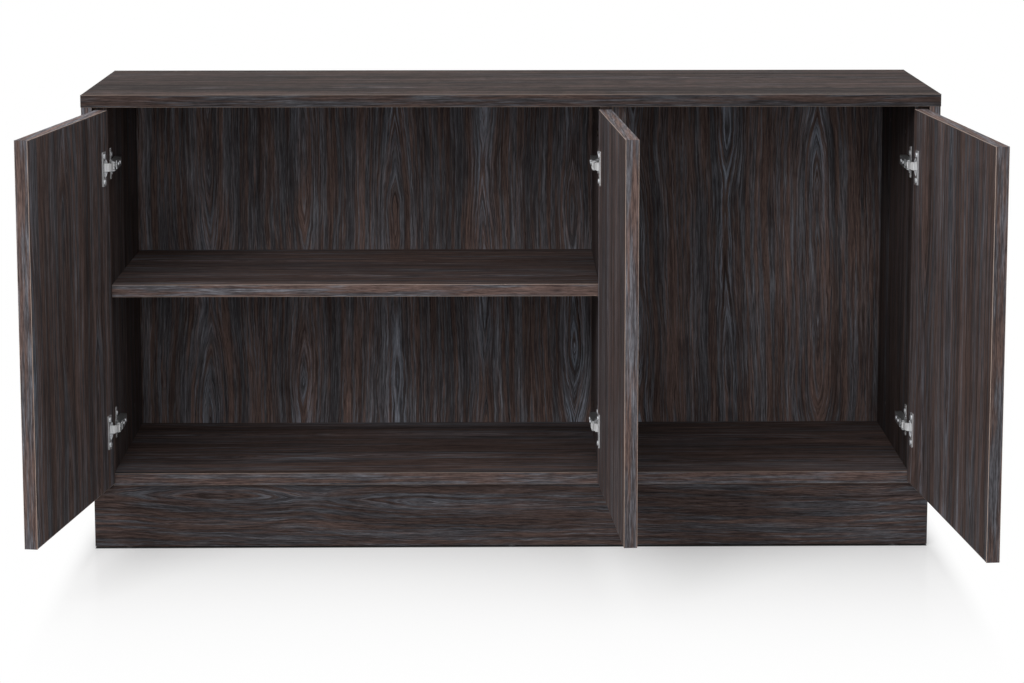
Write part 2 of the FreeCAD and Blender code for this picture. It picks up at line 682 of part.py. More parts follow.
def build_links(door):
    """A goose-necked link on each cup pin, whose tail lies between the cheeks of the arm."""
    angle, ratio, length = link_angle(at(door.opening))
    thick = at("link_thick")
    rise_off = at("link_rise")
    reach = at("link_reach")
    head = (at("link_head_half"), [(0, 0), (at("link_step"), rise_off), (reach - thick, rise_off)])
    tail = (at("link_half"), [(reach - thick, rise_off), (reach, rise_off), (length, 0)])
    links = []
    for rise in HINGE_LEVELS.values():
        parts = []
        for half, spine in (head, tail):
            low = at(rise) - half
            for (from_x, from_y), (to_x, to_y) in zip(spine, spine[1:]):
                run = math.hypot(to_x - from_x, to_y - from_y)
                bar = Part.makeBox(run, thick, 2 * half, FreeCAD.Vector(0, -thick / 2, low))
                turn = FreeCAD.Rotation(UP, math.degrees(math.atan2(to_y - from_y, to_x - from_x)))
                bar.Placement = FreeCAD.Placement(FreeCAD.Vector(from_x, from_y, 0), turn).multiply(bar.Placement)
                parts.append(bar)
                parts.append(Part.makeCylinder(thick / 2, 2 * half, FreeCAD.Vector(from_x, from_y, low)))
            end_x, end_y = (0, 0) if spine[0] == (0, 0) else spine[-1]
            parts.append(Part.makeCylinder(at("knuckle"), 2 * half, FreeCAD.Vector(end_x, end_y, low)))
        whole = parts[0].multiFuse(parts[1:])
        low = at(rise) - at("link_head_half")
        hole = Part.makeCylinder(at("cup_pin_radius") + at("fit_play"), 2 * at("link_head_half"),
                                 FreeCAD.Vector(0, 0, low))
        links.append(whole.cut(hole).removeSplitter())
    shape = Part.makeCompound(links)
    shape.rotate(FreeCAD.Vector(), UP, angle)
    if door.hand == PLUS:
        shape = shape.mirror(FreeCAD.Vector(), FreeCAD.Vector(0, 1, 0))
    else:
        shape.rotate(FreeCAD.Vector(), UP, 180)
    pin = FreeCAD.Vector(door.plane_value() + door.hand * at("cup_pin_in"), at("carcass_front") - at("cup_pin_out"), 0)
    shape.translate(pin)
    item = doc.addObject("Part::Feature", door.name + "_links")
    item.Shape = shape
    door.opened("hinge_links_" + door.name[len("door_"):], item)
    world = door.swing().multVec(pin)
    pivot = door.swing().multVec(FreeCAD.Vector(door.plane_value() + door.hand * at("pivot_in"),
                                                at("carcass_front") - at("pivot_out"), 0))
    print(f"{door.name}: pivot {pivot.x:.4f} {pivot.y:.4f}  cup pin {world.x:.4f} {world.y:.4f}  ratio {ratio:.5f}")


def build_arm(door, level, rise):
    tag = f"{door.name}_{level}"
    edge = "plate_from_edge + plate_wide / 2"
    wings = door.box(tag + "_wings", "board", f"0 - ({edge})", f"{rise} - plate_tall / 2",
                     ("plate_thick", "plate_wide", "plate_tall"))
    saddle = door.box(tag + "_saddle", "board", "0 - saddle_front - saddle_length", f"{rise} - saddle_half",
                      ("arm_stand - arm_wall", "saddle_length", "2 * saddle_half"))
    plate_tools = []
    for number, sign in enumerate("+-"):
        line = f"{rise} {sign} plate_screws / 2"
        face = door.spot("board", "0 - plate_from_edge", line)
        outward = door.hand
        inward = -door.hand
        shank = rod_from(f"{tag}_plate_shank_{number}", face, "x", inward, "-plate_thick",
                         "plate_screw_sink + plate_thick", "plate_screw_radius")
        head = rod_from(f"{tag}_plate_head_{number}", face, "x", outward, "plate_thick", "head_thick", "screw_head")
        piece("plate_screws", fused(f"{tag}_plate_screw_{number}", [shank, head]))
        plate_tools.append(rod_from(f"{tag}_plate_hole_{number}", face, "x", outward, "0", "plate_thick",
                                    "plate_screw_radius + fit_play"))
        bore(door.side, rod_from(f"{tag}_plate_bore_{number}", face, "x", inward, "0", "plate_screw_sink",
                                 "plate_screw_radius + fit_play"))
    web = door.box(tag + "_web", "arm_back - arm_wall", "0 - arm_start - arm_length", f"{rise} - arm_half",
                   ("arm_wall", "arm_length", "2 * arm_half"))
    members = [web]
    for number, low in enumerate((f"{rise} - arm_half", f"{rise} + arm_half - arm_wall")):
        members.append(door.box(f"{tag}_arm_cheek_{number}", "board + plate_thick + 1", "0 - arm_start - arm_length", low,
                                ("arm_stand - plate_thick - 1", "arm_length", "arm_wall")))
        members.append(door.box(f"{tag}_arm_nose_{number}", "arm_pin_in - rivet_head - 1", "0 - arm_start", low,
                                ("2 * rivet_head + 2", "arm_start + arm_nose", "arm_wall")))
        rivet_start = (f"{rise} - arm_half - rivet_thick" if number == 0 else f"{rise} + arm_half - arm_wall")
        core = rod(f"{tag}_rivet_core_{number}", door.spot("arm_pin_in", "arm_pin_out", rivet_start), "z",
                   "rivet_radius", "arm_wall + rivet_thick")
        cap_start = (f"{rise} - arm_half - rivet_thick" if number == 0 else f"{rise} + arm_half")
        cap = rod(f"{tag}_rivet_cap_{number}", door.spot("arm_pin_in", "arm_pin_out", cap_start), "z",
                  "rivet_head", "rivet_thick")
        piece("arm_rivets", fused(f"{tag}_rivet_{number}", [core, cap]))
    arm_tools = [rod(f"{tag}_rivet_bore", door.spot("arm_pin_in", "arm_pin_out", f"{rise} - arm_half"), "z",
                     "rivet_radius + fit_play", "2 * arm_half")]
    for name in ("first", "last"):
        outer = door.spot("arm_back", f"0 - arm_screw_{name}", rise)
        shank = rod_from(f"{tag}_arm_shank_{name}", outer, "x", -door.hand, "0", "screw_sink", "screw_radius")
        head = rod_from(f"{tag}_arm_head_{name}", outer, "x", door.hand, "0", "head_thick", "arm_screw_head")
        piece("arm_screws", fused(f"{tag}_arm_screw_{name}", [shank, head]))
        hole = rod_from(f"{tag}_arm_hole_{name}", outer, "x", -door.hand, "0", "arm_wall", "screw_radius + fit_play")
        arm_tools.append(hole)
        plate_tools.append(rod_from(f"{tag}_saddle_hole_{name}", outer, "x", -door.hand, "arm_wall",
                                    "screw_sink - arm_wall", "screw_radius + fit_play"))
    piece("hinge_plates", cut(tag + "_plate", fused(tag + "_plate_body", [wings, saddle]), plate_tools))
    piece("hinge_arms", cut(tag + "_arm", fused(tag + "_arm_body", members), arm_tools))


# ---------------------------------------------------------------------------------------------
# Assembly
# ---------------------------------------------------------------------------------------------

connect_carcass()
join_carcasses()
build_shelf()
for each_door in DOORS:
    for each_level, each_rise in HINGE_LEVELS.items():
        build_arm(each_door, each_level, each_rise)
build_plinth()
build_panels()
build_slab()
build_cheeks()
for each_door in DOORS:
    build_leaf(each_door)
    build_cups(each_door)
    build_links(each_door)
for group_name, members in pieces.items():
    node(group_name, together(group_name, members))

doc.recompute()
for item in doc.Objects:
    if "Invalid" in item.State or "Error" in item.State:
        raise RuntimeError(f"{item.Name} is {item.State}")
for item in nodes:
    if item.Shape.isNull() or not item.Shape.isValid():
        raise RuntimeError(f"{item.Label} has no valid shape")

os.makedirs("parts", exist_ok=True)
for item in nodes:
    item.Shape.exportStep(f"parts/{item.Label}.step")
print(len(nodes), "nodes written")
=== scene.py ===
"""The looks of the office credenza: dark oak board, edge bands and plated hinges, on a pale floor."""
import math

import bpy
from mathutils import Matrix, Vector


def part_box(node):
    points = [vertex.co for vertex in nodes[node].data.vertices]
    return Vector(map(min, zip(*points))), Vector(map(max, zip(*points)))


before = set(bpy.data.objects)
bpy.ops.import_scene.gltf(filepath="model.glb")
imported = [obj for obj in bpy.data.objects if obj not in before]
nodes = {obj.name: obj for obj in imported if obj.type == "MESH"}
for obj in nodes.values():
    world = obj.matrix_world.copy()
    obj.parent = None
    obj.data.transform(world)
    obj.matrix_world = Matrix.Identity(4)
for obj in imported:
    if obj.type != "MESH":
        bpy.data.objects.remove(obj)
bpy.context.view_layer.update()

# ---------------------------------------------------------------------------------------------
# Node helpers
# ---------------------------------------------------------------------------------------------

SPREAD = (0.3, 0.7)              # most values of a noise texture lie between these
PLAIN_WHITE = (1.0, 1.0, 1.0)


class Shader:
    """A material's node tree, with short calls for the nodes that the looks below are made of."""

    def __init__(self, name):
        self.material = bpy.data.materials.new(name)
        self.material.use_nodes = True
        self.tree = self.material.node_tree
        self.tree.nodes.clear()
        self.output = self.tree.nodes.new("ShaderNodeOutputMaterial")

    def feed(self, socket, value):
        """Link a socket to a node's output, or set its value. Colours are given as three parts."""
        if isinstance(value, bpy.types.NodeSocket):
            self.tree.links.new(value, socket)
        elif socket.type == "RGBA":
            socket.default_value = (*value, 1.0)
        else:
            socket.default_value = value

    def add(self, kind, inputs=None, **settings):
        item = self.tree.nodes.new(kind)
        for key, value in settings.items():
            setattr(item, key, value)
        for key, value in (inputs or {}).items():
            self.feed(item.inputs[key], value)
        return item

    def math(self, operation, first, second=0.0, third=0.0):
        return self.add("ShaderNodeMath", {0: first, 1: second, 2: third}, operation=operation).outputs[0]

    def plus(self, first, *others):
        for other in others:
            first = self.math("ADD", first, other)
        return first

    def times(self, first, *others):
        for other in others:
            first = self.math("MULTIPLY", first, other)
        return first

    def coordinates(self, kind="Object"):
        return self.add("ShaderNodeTexCoord").outputs[kind]

    def split(self, vector):
        """The X, Y and Z of a vector."""
        return tuple(self.add("ShaderNodeSeparateXYZ", {"Vector": vector}).outputs)

    def place(self, x, y, z):
        return self.add("ShaderNodeCombineXYZ", {"X": x, "Y": y, "Z": z}).outputs[0]

    def noise(self, vector, scale=1.0, detail=2.0, roughness=0.5):
        inputs = {"Vector": vector, "Scale": scale, "Detail": detail, "Roughness": roughness}
        return self.add("ShaderNodeTexNoise", inputs, noise_dimensions="3D").outputs["Fac"]

    def span(self, value, low, high, to_low=0.0, to_high=1.0, smooth=False):
        """Carry a value from low to high over to another span, without going past its ends."""
        inputs = {"Value": value, "From Min": low, "From Max": high, "To Min": to_low, "To Max": to_high}
        kind = "SMOOTHSTEP" if smooth else "LINEAR"
        return self.add("ShaderNodeMapRange", inputs, interpolation_type=kind, clamp=True).outputs["Result"]

    def blend(self, factor, first, second, mode="MIX"):
        item = self.add("ShaderNodeMix", data_type="RGBA", blend_type=mode)
        self.feed(item.inputs[0], factor)
        self.feed(item.inputs[6], first)
        self.feed(item.inputs[7], second)
        return item.outputs[2]

    def tint(self, colour, gain):
        """A colour times a number."""
        return self.blend(1.0, colour, self.place(gain, gain, gain), "MULTIPLY")

    def pick(self, factor, first, second):
        """A number: the first where factor is 0, the second where it is 1."""
        item = self.add("ShaderNodeMix", data_type="FLOAT")
        self.feed(item.inputs[0], factor)
        self.feed(item.inputs[2], first)
        self.feed(item.inputs[3], second)
        return item.outputs[0]

    def ramp(self, value, stops):
        item = self.add("ShaderNodeValToRGB", {"Fac": value})
        for element, (position, colour) in zip(item.color_ramp.elements, stops):
            element.position = position
            element.color = (*colour, 1.0)
        return item.outputs["Color"]

    def coat(self, colour, roughness, height, bump, more=None):
        """Finish with a principled surface. bump is the reach in metres and the strength of its height."""
        reach, strength = bump
        normal = self.add("ShaderNodeBump", {"Height": height, "Distance": reach, "Strength": strength})
        inputs = {"Base Color": colour, "Roughness": roughness, "Normal": normal.outputs["Normal"]}
        inputs.update(more or {})
        return self.finish(self.add("ShaderNodeBsdfPrincipled", inputs).outputs[0])

    def finish(self, shader):
        self.tree.links.new(shader, self.output.inputs["Surface"])
        return self.material


def dress(node, material):
    """Give a CAD node its material."""
    item = nodes[node]
    item.data.materials.clear()
    item.data.materials.append(material)


# ---------------------------------------------------------------------------------------------
# Dark oak: the grain of a flat-sawn log, cut from rings round a tilted heart line
# ---------------------------------------------------------------------------------------------

UMBER = (0.022, 0.0150, 0.0138)
BROWN = (0.060, 0.0405, 0.0365)
RUST = (0.098, 0.065, 0.0555)
SLATE = (0.054, 0.0535, 0.060)
HAZE = (0.126, 0.132, 0.150)
FROST = (0.185, 0.207, 0.250)
OAK_SHEEN = {"Specular IOR Level": 0.08}
OAK_ROUGH = (0.82, 0.68)         # in the dark and the pale streaks
OAK_BUMP = (0.00022, 0.55)

# Drifts of the lines: stretch along and across, per metre, shift of the seed, detail, and the reach in
# metres on a figured face and on straight grain.
DRIFTS = (
    (0.9, 2.5, 0.0, 1.0, 0.05, 0.005),
    (6.0, 22.0, 3.0, 2.0, 0.009, 0.0016),
    (30.0, 130.0, 6.0, 2.0, 0.0048, 0.0008),
)
SLANT = 0.9                      # how far the lines move over for each metre through the board
SEED_STEP = 0.37                 # metres that they move over for each whole seed

# Hearts: the rings lie round a line that dips in and out of the face, anew in every strip of the board.
HALF_STRIP = 0.088               # metres from a heart to the edge of its strip
DIP = 0.26                       # metres between the line's highest and lowest place, for the full noise
FLAT_SHARE = 0.55                # what the distance beside the heart adds to the one that the rings follow
ROUND_SHARE = 0.6                # and what the straight distance from the heart line adds to it
DIP_NOISE = (1.9, 7.3, 11.0, 1.5)         # stretch along, step for each strip, shift of the seed, detail
SHOWN_NOISE = (1.1, 3.1, 31.0, 2.0)

# Layers of the print: stretch along, density across the rings, shift of the seed, detail and roughness.
LAYERS = {
    "broad": (0.5, 13.0, 27.0, 2.0, 0.5),
    "belt": (0.8, 34.0, 1.0, 3.0, 0.6),
    "hue": (2.0, 110.0, 5.0, 3.0, 0.65),
    "streak": (6.5, 360.0, 9.0, 3.0, 0.7),
    "fibre": (20.0, 640.0, 13.0, 3.0, 0.7),
    "pore": (40.0, 1250.0, 17.0, 1.0, 0.5),
    "arc": (4.0, 330.0, 21.0, 3.0, 0.65),
}
# How fast the layers also change across the board, so that a heart's two sides differ, and through it.
SIDE_ACROSS = 16.0
SIDE_THROUGH = 3.0

# What the layers do: from and to which value they act, and what they give there.
RUST_SPAN = (0.40, 0.70)
HAZE_SPAN = (0.48, 0.74)
SLATE_SPAN = (0.46, 0.62, 0.0, 0.9)
UMBER_SPAN = (0.28, 0.52, 0.8, 0.0)
SHOWN_SPAN = (0.42, 0.60)
NEAR_SPAN = (0.004, 0.032, 1.0, 0.0)      # metres beside the heart
ARC_SPAN = (0.48, 0.60)
BREAK_SPAN = (0.36, 0.52, 0.35, 1.0)
FIBRE_SPAN = (0.28, 0.74, 0.40, 1.72)
PORE_SPAN = (0.60, 0.72, 1.0, 0.6)
BROAD_SPAN = (0.34, 0.66, 0.80, 1.20)
BELT_SPAN = (0.34, 0.66, 0.70, 1.32)
PIT_SPAN = (0.58, 0.72, 0.0, 0.8)
FIBRE_HEIGHT = 0.6


def turned(s, vector, heading):
    """A vector as seen from a door whose width lies along the heading."""
    if not heading:
        return vector
    inputs = {"Vector": vector, "Angle": -heading}
    return s.add("ShaderNodeVectorRotate", inputs, rotation_type="Z_AXIS").outputs[0]


def grain_axes(s, along, across, heading):
    """Metres along and across the grain and through the board, from the node's own coordinates."""
    parts = dict(zip("XYZ", s.split(turned(s, s.coordinates(), heading))))
    through = (set("XYZ") - {along, across}).pop()
    return parts[along], parts[across], parts[through]


def line_drifts(s, along, across, seed, figured):
    """How far the lines lie from straight: a wide, a middling and a narrow drift, in metres."""
    drifts = []
    for stretch, density, shift, detail, face_reach, straight_reach in DRIFTS:
        spot = s.place(s.times(along, stretch), s.times(across, density), seed + shift)
        drifts.append(s.times(s.noise(spot, detail=detail), face_reach if figured else straight_reach))
    return drifts


def strip_noise(s, along, strip, seed, stretch, step, shift, detail):
    """Noise that changes along the board and from strip to strip."""
    return s.noise(s.place(s.times(along, stretch), s.times(strip, step), seed + shift), detail=detail)


def heart_rings(s, along, place, seed):
    """Metres beside the nearest heart, the number of its strip, and the distance that the rings follow."""
    beside = s.math("PINGPONG", place, HALF_STRIP)
    strip = s.math("FLOOR", s.math("DIVIDE", s.plus(place, HALF_STRIP), 2 * HALF_STRIP))
    below = s.math("MULTIPLY_ADD", strip_noise(s, along, strip, seed, *DIP_NOISE), DIP, -DIP / 2)
    squares = s.plus(s.times(beside, beside), s.times(below, below))
    ring = s.math("MULTIPLY_ADD", beside, FLAT_SHARE, s.times(s.math("SQRT", squares), ROUND_SHARE))
    return beside, strip, ring


def pale_arches(s, along, beside, strip, arc, streak, seed):
    """How strongly the pale arches at the hearts show."""
    shown = s.span(strip_noise(s, along, strip, seed, *SHOWN_NOISE), *SHOWN_SPAN, smooth=True)
    near = s.times(s.span(beside, *NEAR_SPAN, smooth=True), shown)
    arcs = s.times(s.span(arc, *ARC_SPAN, smooth=True), s.span(streak, *BREAK_SPAN))
    return s.times(near, arcs)


def oak_print(s, axes, seed, tone=1.0, figure=0.6, cool=0.0, fine=1.0, short=1.0, bold=1.0):
    """Colour, height and streaks of the printed grain.

    figure is how strongly the hearts stand out, and 0 leaves them out. cool turns more of the brown to
    slate. fine is how close the lines lie, short how soon they end and bold how much they differ.
    """
    along, across, through = axes
    wide, middling, narrow = line_drifts(s, along, across, seed, figure)
    line = s.math("MULTIPLY_ADD", through, SLANT, across)
    place = s.plus(s.plus(line, wide), s.plus(middling, narrow, SEED_STEP * seed))
    ring = place
    if figure:
        beside, strip, ring = heart_rings(s, along, place, seed)
    side = s.plus(s.times(across, SIDE_ACROSS), s.times(through, SIDE_THROUGH))

    def layer(name):
        stretch, density, shift, detail, roughness = LAYERS[name]
        lengthwise, crosswise = s.times(along, stretch * short), s.times(ring, density * fine)
        spot = s.place(lengthwise, crosswise, s.plus(side, seed + shift))
        return s.noise(spot, detail=detail, roughness=roughness)

    streak, fibre, pore = layer("streak"), layer("fibre"), layer("pore")
    warm = s.blend(s.span(streak, *RUST_SPAN), BROWN, RUST)
    cold = s.blend(s.span(streak, *HAZE_SPAN), SLATE, HAZE)
    low, high, least, most = SLATE_SPAN
    colour = s.blend(s.span(layer("hue"), low - cool, high - cool, least, most, smooth=True), warm, cold)
    colour = s.blend(s.span(streak, *UMBER_SPAN), colour, UMBER)
    if figure:
        arches = pale_arches(s, along, beside, strip, layer("arc"), streak, seed)
        colour = s.blend(s.times(arches, figure), colour, FROST)
    belts = s.times(s.span(layer("broad"), *BROAD_SPAN), s.span(layer("belt"), *BELT_SPAN))
    lines = s.times(s.span(fibre, *FIBRE_SPAN), s.span(pore, *PORE_SPAN), belts)
    # gain carries each board's brightness factor: its own tone together with painted light and shade, set
    # board by board for how much light reaches it
    gain = s.times(s.math("POWER", lines, bold), tone)
    height = s.math("SUBTRACT", s.times(fibre, FIBRE_HEIGHT), s.span(pore, *PIT_SPAN))
    return s.tint(colour, gain), height, streak


def oak(name, along, across, seed, heading=0.0, **grain):
    s = Shader(name)
    colour, height, streak = oak_print(s, grain_axes(s, along, across, heading), seed, **grain)
    return s.coat(colour, s.span(streak, *SPREAD, *OAK_ROUGH), height, OAK_BUMP, OAK_SHEEN)


# ---------------------------------------------------------------------------------------------
# Edge bands: straight grain of the same print, with a paler arris that is partly painted highlight
# ---------------------------------------------------------------------------------------------

# Painted highlight: this pale colour on the arris is partly the band's pale edge and partly the light that
# its rounded edge catches
ARRIS_PALE_AND_HIGHLIGHT = (0.205, 0.160, 0.135)
BAND_GRAIN = {"figure": 0.0, "cool": 0.04, "short": 2.6, "bold": 0.72}
BAND_ROUGH = (0.78, 0.64)
BAND_BUMP = (0.00018, 0.5)
TOP_PAINTED_LIGHT = 1.8                   # painted light: how much paler the print is on the ends of the doors and cheeks, tops and bottoms alike, as if lit from above
SQUARE_ON = 0.6                  # a face counts as facing along an axis past this part of its normal
FLAT_SPAN = (0.93, 0.99, 1.0, 0.0)        # largest part of the normal, from arris to flat; it sets where the paler arris and its painted highlight go
BAYS = [(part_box("bottom_" + bay)[0].x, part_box("bottom_" + bay)[1].x) for bay in ("left", "right")]
BOTTOM_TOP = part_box("bottom_left")[1].z + 0.001   # a millimetre over the bottom boards


def band_axes(s, board, point, sizes):
    """Metres along, across and through a band, whose grain runs the long way of each strip.

    sizes are the parts of the normal, unsigned. What comes second is 1 on the level faces of an upright
    board, and None for the others.
    """
    x, y, z = s.split(point)
    if board == "slab":
        sideways = s.math("GREATER_THAN", sizes[0], SQUARE_ON)
        return (s.pick(sideways, x, y), z, s.pick(sideways, y, x)), None
    if board == "shelf":
        return (x, z, y), None
    if board == "carcass":
        between = [s.times(s.math("GREATER_THAN", x, low), s.math("LESS_THAN", x, high))
                   for low, high in BAYS]
        lying = s.times(s.plus(*between), s.math("LESS_THAN", z, BOTTOM_TOP))
        return (s.pick(lying, z, x), s.pick(lying, x, z), y), None
    level = s.math("GREATER_THAN", sizes[2], SQUARE_ON)
    wide, thick = (x, y) if board == "door" else (y, x)
    return (s.pick(level, z, wide), thick, s.pick(level, wide, z)), level


def oak_band(name, board, seed, tone, heading=0.0, arris_and_highlight=1.0):
    """An edge band; its arris is paler by the factor given, partly its pale edge and partly painted
    highlight.
    """
    s = Shader(name)
    facing = s.split(turned(s, s.coordinates("Normal"), heading))
    sizes = [s.math("ABSOLUTE", part) for part in facing]
    axes, level = band_axes(s, board, turned(s, s.coordinates(), heading), sizes)
    # painted light: the level faces at the ends are paler, as if lit from above
    if level is not None:
        tone = s.pick(level, tone, tone * TOP_PAINTED_LIGHT)
    colour, height, streak = oak_print(s, axes, seed, tone, **BAND_GRAIN)
    flattest = s.math("MAXIMUM", s.math("MAXIMUM", sizes[0], sizes[1]), sizes[2])
    # the arris is partly the band's pale edge and partly painted highlight
    colour = s.blend(s.span(flattest, *FLAT_SPAN), colour, tuple(arris_and_highlight * part for part in ARRIS_PALE_AND_HIGHLIGHT))
    return s.coat(colour, s.span(streak, *SPREAD, *BAND_ROUGH), height, BAND_BUMP, OAK_SHEEN)


# ---------------------------------------------------------------------------------------------
# Boards, bands and doors
# ---------------------------------------------------------------------------------------------

FLAT_GRAIN = {"figure": 0.3, "fine": 0.75}
PLINTH_GRAIN = {"figure": 0.2, "short": 2.0}
BACK_GRAIN = {"figure": 1.0, "short": 1.3}
# Painted light and shade: besides each board's own tone, these factors brighten or darken each board for how
# much light reaches it
UPRIGHT_TONES_AND_SHADE = {"cheek_left": 1.0, "cheek_right": 1.0, "side_left": 0.92, "side_right": 0.73,
                 "divider_left": 1.0, "divider_right": 0.70}
DOOR_TONES_AND_SHADE = {"left": (1.10, 1.38), "middle": (1.34, 1.45), "right": (1.32, 1.22)}   # faces, edges


def dress_boards():
    # Painted light and shade: the tone given to each board, besides its own colour, brightens or darkens it
    # for how much light reaches it, so the slab is darkest and the shelf lightest
    dress("top_panel", oak("oak_slab", "X", "Y", seed=2.0, tone=0.62, figure=0.25, cool=-0.05, fine=0.6,
                           short=1.6, bold=1.9))
    dress("bottom_left", oak("oak_bottom_left", "X", "Y", seed=5.0, tone=1.02, **FLAT_GRAIN))
    dress("bottom_right", oak("oak_bottom_right", "X", "Y", seed=7.5, tone=1.22, **FLAT_GRAIN))
    dress("shelf", oak("oak_shelf", "X", "Y", seed=9.0, tone=1.55, **FLAT_GRAIN))
    dress("back_left", oak("oak_back_left", "Z", "X", seed=11.0, tone=1.34, cool=0.05, **BACK_GRAIN))
    dress("back_right", oak("oak_back_right", "Z", "X", seed=14.5, tone=1.36, cool=0.03, **BACK_GRAIN))
    for number, (node, tone) in enumerate(UPRIGHT_TONES_AND_SHADE.items()):
        dress(node, oak("oak_" + node, "Z", "Y", seed=20.0 + 2.3 * number, tone=tone, figure=0.5))
    dress("plinth_front", oak("oak_plinth_front", "X", "Z", seed=33.0, tone=0.84, cool=0.03, fine=1.15,
                              **PLINTH_GRAIN))
    dress("plinth_back", oak("oak_plinth_back", "X", "Z", seed=35.0, tone=0.68, fine=1.15, **PLINTH_GRAIN))
    for node in ("plinth_end_left", "plinth_end_right", "plinth_cross_rails"):
        dress(node, oak("oak_" + node, "Y", "Z", seed=37.0, tone=0.68, **PLINTH_GRAIN))


def dress_bands():
    # Painted light and shade: each band's tone also stands in for how much light reaches it, and the shelf's
    # arris factor adds painted highlight
    dress("top_edging", oak_band("band_slab", "slab", seed=41.0, tone=0.68))
    dress("shelf_edging", oak_band("band_shelf", "shelf", seed=43.0, tone=1.58, arris_and_highlight=1.8))
    dress("carcass_edging", oak_band("band_carcass", "carcass", seed=45.0, tone=1.32))
    dress("cheek_edging", oak_band("band_cheek", "cheek", seed=47.0, tone=1.75))


def door_heading(node):
    """Direction of an open door's width, as an angle about Z, from the places of its hinge and free ends."""
    points = [vertex.co for vertex in nodes[node].data.vertices]
    low = min(points, key=lambda p: p.y)
    high = max(points, key=lambda p: p.y)
    return math.atan2(high.y - low.y, high.x - low.x)


def dress_doors():
    # Painted light and shade: the doors' face and edge tones also stand in for how much light reaches each
    # door, and their arris factor adds painted highlight
    for number, (side, (tone, edge_tone)) in enumerate(DOOR_TONES_AND_SHADE.items()):
        node = "door_" + side
        heading = door_heading(node)
        dress(node, oak("oak_" + node, "Z", "X", seed=52.0 + 3.1 * number, heading=heading, tone=tone,
                        cool=0.02, fine=0.8, bold=1.15))
        dress(node + "_edging", oak_band("band_" + node, "door", seed=62.0 + 1.7 * number, tone=edge_tone,
                                         heading=heading, arris_and_highlight=2.0))


# ---------------------------------------------------------------------------------------------
# Metals, beech and nylon
# ---------------------------------------------------------------------------------------------

METAL_WEAR = (0.93, 1.04)        # how much darker and paler the metals' cloudy patches are
METAL_SCRATCH = 0.05             # how much rougher and smoother their fine scratches are
METAL_FINE = 14                  # how much finer the scratches are than the patches
METAL_BUMP = (0.00002, 0.1)
BEECH_STRETCH = (60.0, 900.0, 900.0)
BEECH_COLOURS = ((0.36, 0.22, 0.12), (0.62, 0.44, 0.28))
BEECH_ROUGH = (0.65, 0.52)
BEECH_BUMP = (0.0001, 0.4)
NYLON_SPECKS = 1400.0
NYLON_COLOURS = ((0.016, 0.016, 0.017), (0.030, 0.030, 0.031))
NYLON_ROUGH = (0.6, 0.48)
NYLON_BUMP = (0.0001, 0.3)


def metal(name, colour, roughness, patches, metallic=1.0):
    """A plated or bare metal. patches is the scale of its cloudy patches."""
    s = Shader(name)
    point = s.coordinates()
    cloud = s.noise(point, scale=patches, detail=3.0, roughness=0.6)
    fine = s.noise(point, scale=patches * METAL_FINE, detail=2.0)
    colour = s.tint(colour, s.span(cloud, *SPREAD, *METAL_WEAR))
    gloss = s.plus(s.span(fine, *SPREAD, -METAL_SCRATCH, METAL_SCRATCH), roughness)
    return s.coat(colour, gloss, fine, METAL_BUMP, {"Metallic": metallic})


def beech(name):
    s = Shader(name)
    stretched = s.add("ShaderNodeMapping", {"Vector": s.coordinates(), "Scale": BEECH_STRETCH}).outputs[0]
    line = s.noise(stretched, detail=3.0, roughness=0.6)
    colour = s.ramp(line, zip(SPREAD, BEECH_COLOURS))
    return s.coat(colour, s.span(line, *SPREAD, *BEECH_ROUGH), line, BEECH_BUMP)


def nylon(name):
    s = Shader(name)
    speck = s.noise(s.coordinates(), scale=NYLON_SPECKS, detail=2.0)
    colour = s.ramp(speck, zip(SPREAD, NYLON_COLOURS))
    return s.coat(colour, s.span(speck, *SPREAD, *NYLON_ROUGH), speck, NYLON_BUMP)


def dress_hardware():
    nickel = metal("nickel_plate", (0.92, 0.93, 0.95), roughness=0.19, patches=60.0, metallic=0.68)
    satin = metal("satin_link", (0.79, 0.79, 0.80), roughness=0.48, patches=80.0, metallic=0.35)
    dull = metal("hinge_steel", (0.42, 0.43, 0.44), roughness=0.42, patches=60.0)
    zinc = metal("zinc_screw", (0.50, 0.51, 0.53), roughness=0.50, patches=120.0, metallic=0.6)
    bronze = metal("cam_bronze", (0.060, 0.046, 0.040), roughness=0.55, patches=90.0)
    finishes = (
        (nickel, ("hinge_plates", "shelf_pins")),
        (dull, ("hinge_arms",)),
        (zinc, ("plate_screws", "arm_screws", "arm_rivets", "cam_bolts", "plinth_screws")),
        (bronze, ("cam_locks", "joining_bolts", "joining_sleeves", "cheek_screws")),
        (beech("bare_beech"), ("wood_dowels", "plinth_blocks")),
        (nylon("glide_nylon"), ("plinth_glides",)),
    )
    for material, group in finishes:
        for node in group:
            dress(node, material)
    for side in DOOR_TONES_AND_SHADE:
        dress("hinge_cups_" + side, nickel)
        dress("hinge_links_" + side, satin)
        dress("cup_screws_" + side, zinc)
        dress("cup_pins_" + side, zinc)


# ---------------------------------------------------------------------------------------------
# Floor, light and camera
# ---------------------------------------------------------------------------------------------

AMBIENT = 0.25                   # the room's light on the object
WHITE = 1.0                      # the backdrop, as the camera, gloss and glass see it
FLOOR_SPAN = 40.0
FLOOR_ALBEDO = 0.80
FLOOR_CLOUDS = 3.0               # scale of the patches in the floor's colour
FLOOR_CLOUD = 0.004              # how much they differ, either way
FLOOR_GLOSS = 0.05               # share of the floor's light that it mirrors
FLOOR_GLOSS_ROUGH = 0.15
FLOOR_GLOW = 0.27                # what the camera sees on top of the lit floor
UNDER_SHADE = 0.12               # painted shadow: share of its colour that the floor keeps under the plinth
UNDER_EDGE = 0.004               # metres over which that shade ends
FADE_REACH = 0.90                # metres in front of the plinth over which the floor fades to white
FADE_SIDE = 20.0                 # how much sooner it does so beside the plinth


